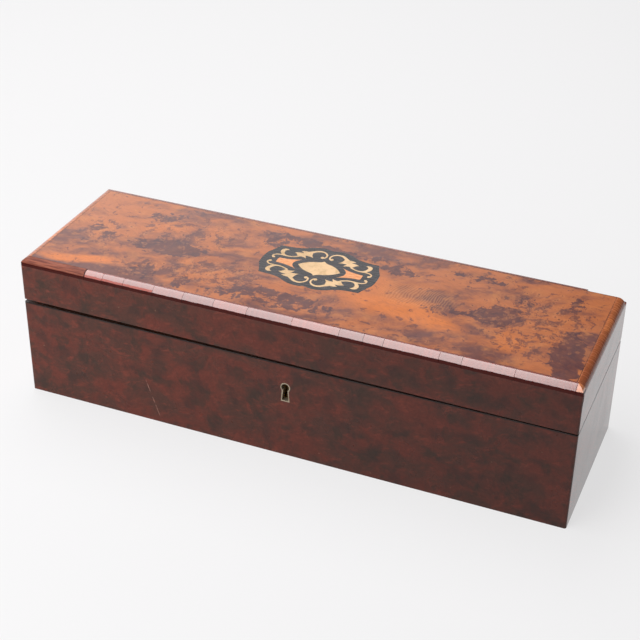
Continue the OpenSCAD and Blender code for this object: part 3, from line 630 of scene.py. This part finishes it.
# The cloth settings suit pads of this many times their size, so they are puffed at that size.
SIM_SCALE = 10.0
SIM_FRAMES = 20
CLOTH = {
    "quality": 6, "mass": 0.2, "tension_stiffness": 8, "compression_stiffness": 8,
    "shear_stiffness": 4, "bending_stiffness": 0.3, "shrink_min": -0.05,
    "use_pressure": True, "uniform_pressure_force": 4.0, "vertex_group_mass": "pins",
}


def new_object(name, data):
    thing = bpy.data.objects.new(name, data)
    bpy.context.scene.collection.objects.link(thing)
    return thing


def new_piece(name, points, faces, body, slot, finishes):
    """A smooth mesh piece from points in millimetres."""
    mesh = bpy.data.meshes.new(name)
    mesh.from_pydata([Vector(p) * MM for p in points], [], faces)
    mesh.validate()
    shape = bmesh.new()
    shape.from_mesh(mesh)
    bmesh.ops.recalc_face_normals(shape, faces=shape.faces)
    shape.to_mesh(mesh)
    shape.free()
    for face in mesh.polygons:
        face.use_smooth = len(face.vertices) <= 4
    piece = new_object(name, mesh)
    mesh.materials.append(finishes[slot])
    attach(piece, body)
    return piece


def clamp(value, low, high):
    return min(max(value, low), high)


def rounded(distance, reach):
    """A quarter round: 0 at an edge, 1 from reach onwards."""
    return math.sqrt(1 - (1 - clamp(distance / reach, 0.0, 1.0)) ** 2)


def pleated_share(u, v, length, height, seed):
    """How much of its full thickness a gathered panel has at a place on it."""
    drift = noise.noise(Vector((u * DRIFT[0], v * DRIFT[1], seed)))
    crumple = noise.noise(Vector((u * CRUMPLE[0], v * CRUMPLE[1], seed + CRUMPLE_SEED_STEP)))
    fold = u / PLEAT_PITCH + DRIFT[2] * drift + CRUMPLE[2] * crumple
    puff = abs(math.sin(math.pi * fold)) ** PLEAT_FULLNESS
    gather = 1 - PLEAT_EASE * math.sin(math.pi * v / height)
    edge = min(rounded(min(u, length - u), WALL_ROLL), rounded(min(v, height - v), WALL_ROLL))
    relief = 1 - CRUMPLE_RELIEF + CRUMPLE_RELIEF * crumple
    return min(edge * (1 - PLEAT_DEPTH * gather * (1 - puff)) * relief, 1.0)


def pleated_wall(node, finishes):
    """A padded panel of gathered satin: crowned and pleated in front, flat on its board."""
    low, high = (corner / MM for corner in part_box(node))
    side = node.split("_")[1]
    along, thick = (0, 1) if side in ("front", "back") else (1, 0)
    wall, face = low[thick], high[thick]
    if side in ("back", "right"):
        wall, face = face, wall
    length, height = high[along] - low[along], high.z - low.z
    columns = round(length / PLEAT_COLUMN)
    rows = max(round(height / PLEAT_ROW), PLEAT_ROWS)
    seed = WALL_NODES.index(node) * WALL_SEED_STEP
    points = []
    for i in range(columns + 1):
        for j in range(rows + 1):
            u = length * i / columns
            v = height * (1 - math.cos(math.pi * j / rows)) / 2
            at = [0.0, 0.0, low.z + v]
            at[along] = low[along] + u
            at[thick] = wall + (face - wall) * pleated_share(u, v, length, height, seed)
            points.append(at)
    step = rows + 1
    faces = [(i * step + j, i * step + j + 1, (i + 1) * step + j + 1, (i + 1) * step + j)
             for i in range(columns) for j in range(rows)]
    rim = [i * step for i in range(columns + 1)]
    rim += [columns * step + j for j in range(1, rows + 1)]
    rim += [i * step + rows for i in range(columns - 1, -1, -1)]
    rim += range(rows - 1, 0, -1)
    faces.append(tuple(rim))
    body = "base" if node.startswith("well") else "lid"
    piece = new_piece("satin_" + node, points, faces, body, "satin_wall", finishes)
    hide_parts(node)


def is_tuft(i, j):
    """Buttons stand in a diamond pattern, three rows deep."""
    columns, rows = PAD_CELLS
    if not 0 < i < columns:
        return False
    if j == rows // 2:
        return i % TUFT_STEP == 0
    return j in (rows // 4, 3 * rows // 4) and i % TUFT_STEP == TUFT_STEP // 2


def pad_form(length, width, height):
    """Start heights of a tufted pad's face, cell by cell, and the cells of its tufts."""
    columns, rows = PAD_CELLS
    cells = [(i, j) for i in range(columns + 1) for j in range(rows + 1)]
    tufts = [cell for cell in cells if is_tuft(*cell)]
    heights = {}
    for i, j in cells:
        u, v = length * i / columns, width * j / rows
        edge = rounded(min(u, length - u, v, width - v), PAD_ROLL)
        near = min(math.hypot(u - length * a / columns, v - width * b / rows)
                   for a, b in tufts)
        sink = math.exp(-(near / TUFT_REACH) ** 2)
        heights[i, j] = height * edge * (PAD_START + (TUFT_SINK - PAD_START) * sink)
    return heights, tufts


def puffed(points, faces, pinned):
    """Points of a closed cloth form after a short simulation of the stuffing's pressure."""
    mesh = bpy.data.meshes.new("puffing")
    scale = MM * SIM_SCALE
    mesh.from_pydata([Vector(p) * scale for p in points], [], faces)
    cloth = new_object("puffing", mesh)
    cloth.vertex_groups.new(name="pins").add(pinned, 1.0, "REPLACE")
    modifier = cloth.modifiers.new("cloth", "CLOTH")
    for key, value in CLOTH.items():
        setattr(modifier.settings, key, value)
    modifier.settings.effector_weights.gravity = 0
    modifier.collision_settings.use_collision = False
    modifier.point_cache.frame_start = 1
    modifier.point_cache.frame_end = SIM_FRAMES
    for moment in range(1, SIM_FRAMES + 1):
        bpy.context.scene.frame_set(moment)
    shaped = cloth.evaluated_get(bpy.context.evaluated_depsgraph_get()).to_mesh()
    result = [v.co / scale for v in shaped.vertices]
    bpy.context.scene.frame_set(1)
    bpy.data.objects.remove(cloth)
    bpy.data.meshes.remove(mesh)
    return result


def buttoned_pad(node, body, finishes):
    """A satin pad drawn down by covered buttons, flat where it lies on its board."""
    low, high = (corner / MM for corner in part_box(node))
    columns, rows = PAD_CELLS
    length, width, height = high.x - low.x, high.y - low.y, high.z - low.z
    up = 1 if body == "base" else -1
    seat = low.z if up > 0 else high.z
    heights, tufts = pad_form(length, width, height)

    def place(i, j, rise):
        return (low.x + length * i / columns, low.y + width * j / rows, seat + up * rise)

    points = [place(i, j, rise) for (i, j), rise in heights.items()]
    index = {cell: k for k, cell in enumerate(heights)}
    under = {(i, j): index[i, j] for i, j in heights if i in (0, columns) or j in (0, rows)}
    for i, j in heights:
        if (i, j) not in under:
            under[i, j] = len(points)
            points.append(place(i, j, 0))
    faces = []
    for i in range(columns):
        for j in range(rows):
            ring = [(i, j), (i + 1, j), (i + 1, j + 1), (i, j + 1)]
            faces.append([index[c] for c in ring][::up])
            faces.append([under[c] for c in ring][::-up])
    points = puffed(points, faces, [*under.values(), *(index[cell] for cell in tufts)])
    bottom, top = sorted((seat, seat + up * height * PAD_TOP))
    shaped = [(clamp(x, low.x, high.x), clamp(y, low.y, high.y), clamp(z, bottom, top))
              for x, y, z in points]
    piece = new_piece("satin_" + node, shaped, faces, body, "satin_pad", finishes)
    smooth = piece.modifiers.new("smooth", "SUBSURF")
    smooth.levels = smooth.render_levels = 1
    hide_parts(node)
    buttons(node, body, [shaped[index[cell]] for cell in tufts], up, finishes)


def buttons(node, body, places, up, finishes):
    """Covered buttons, one at each tuft."""
    angles = [math.radians(90 / BUTTON_RINGS * k) for k in range(1, BUTTON_RINGS + 1)]
    outline = [(BUTTON_R * math.sin(a), BUTTON_H * math.cos(a)) for a in angles]
    outline.append((BUTTON_R * BUTTON_NECK[0], BUTTON_NECK[1]))
    sides = range(BUTTON_SIDES)
    points, faces = [], []
    for x, y, z in places:
        start = len(points)
        points.append((x, y, z + up * BUTTON_H))
        for radius, rise in outline:
            for t in sides:
                turn = math.tau * t / BUTTON_SIDES
                points.append((x + radius * math.cos(turn), y + radius * math.sin(turn),
                               z + up * rise))
        for t in sides:
            after = (t + 1) % BUTTON_SIDES
            faces.append((start, start + 1 + t, start + 1 + after))
            for ring in range(len(outline) - 1):
                first = start + 1 + ring * BUTTON_SIDES
                below = first + BUTTON_SIDES
                faces.append((first + t, below + t, below + after, first + after))
        last = start + 1 + (len(outline) - 1) * BUTTON_SIDES
        faces.append(tuple(last + t for t in sides))
    new_piece(node + "_buttons", points, faces, body, "satin_pad", finishes)


def make_linings(finishes):
    for node in WALL_NODES:
        pleated_wall(node, finishes)
    buttoned_pad("well_floor_pad", "base", finishes)
    buttoned_pad("lid_pad", "lid", finishes)


# Stage

def make_floor():
    mesh = bpy.data.meshes.new("floor")
    half = FLOOR_SIZE * MM / 2
    corners = [(-half, -half, 0), (half, -half, 0), (half, half, 0), (-half, half, 0)]
    mesh.from_pydata(corners, [], [(0, 1, 2, 3)])
    floor = new_object("floor", mesh)
    f = Finish("floor_paper", Roughness=0.9, Specular_IOR_Level=0.0)
    tints = [(*(FLOOR_WHITE * share for share in tint), 1) for tint in FLOOR_TINTS]
    mesh.materials.append(f.finish(f.blend(f.noise(f.mm, 300, detail=2), *tints)))
    show_background(f)


def show_background(f):
    """Mixes the background's own white into what the camera and the gloss see of the floor."""
    white = f.add("Emission")
    white.inputs["Color"].default_value = (*BACKGROUND, 1)
    rays = f.add("LightPath").outputs
    seen = f.most(rays["Is Camera Ray"], rays["Is Glossy Ray"], rays["Is Transmission Ray"])
    far = f.ramp(f.vector("LENGTH", f.mm), *FLOOR_FADE, FLOOR_GLOW, 1.0)
    both = f.mixed(f.times(seen, far), f.shader.outputs[0], white.outputs[0])
    f.put(f.tree.nodes["Material Output"].inputs["Surface"], both)


def make_world():
    """An even studio, with a paler wash low behind the box, on a plain background."""
    world = bpy.data.worlds.new("studio")
    bpy.context.scene.world = world
    world.use_nodes = True
    w = Nodes(world.node_tree)
    toward = w.axes(w.add("TexCoord").outputs["Generated"])
    low = w.ramp(toward["Z"], *WASH_UP, WASH, 0.0)
    wash = w.times(low, w.ramp(toward["Y"], *WASH_BACK), w.fade(toward["X"], *WASH_RIGHT))
    lit = w.tree.nodes["Background"]
    lit.inputs["Color"].default_value = (1, 1, 1, 1)
    w.put(lit.inputs["Strength"], w.math("ADD", wash, AMBIENT))
    seen = w.add("Background")
    seen.inputs["Color"].default_value = (*BACKGROUND, 1)
    camera_ray = w.add("LightPath").outputs["Is Camera Ray"]
    both = w.mixed(camera_ray, lit.outputs[0], seen.outputs[0])
    w.put(w.tree.nodes["World Output"].inputs["Surface"], both)


def make_panels():
    for k, (place, width, length, slope) in enumerate(PANELS):
        light = bpy.data.lights.new("panel_%d" % k, "AREA")
        light.shape = "RECTANGLE"
        light.size, light.size_y = width * MM, length * MM
        light.energy = PANEL_GLOW * math.pi * light.size * light.size_y
        panel = new_object("panel_%d" % k, light)
        panel.location = Vector(place) * MM
        panel.rotation_euler = (math.radians(slope), 0, 0)


def make_camera():
    yaw, pitch, roll = (math.radians(a) for a in (CAMERA_YAW, CAMERA_PITCH, CAMERA_ROLL))
    ahead = Vector((-math.sin(yaw) * math.cos(pitch), math.cos(yaw) * math.cos(pitch),
                    -math.sin(pitch)))
    level = Vector((math.cos(yaw), math.sin(yaw), 0))
    upright = level.cross(ahead)
    right = level * math.cos(roll) + upright * math.sin(roll)
    up = upright * math.cos(roll) - level * math.sin(roll)
    data = bpy.data.cameras.new("camera")
    data.sensor_width = SENSOR
    data.lens = SENSOR * FOCAL_PX / IMAGE_PX
    camera = new_object("camera", data)
    turn = Matrix((right, up, -ahead)).transposed().to_4x4()
    camera.matrix_world = Matrix.Translation(Vector(CAMERA_AT) * MM) @ turn
    bpy.context.scene.camera = camera


bpy.context.scene.view_settings.view_transform = "Standard"
make_camera()
make_world()
make_panels()
make_floor()
finishes = make_finishes()
dress_nodes(finishes)
make_linings(finishes)
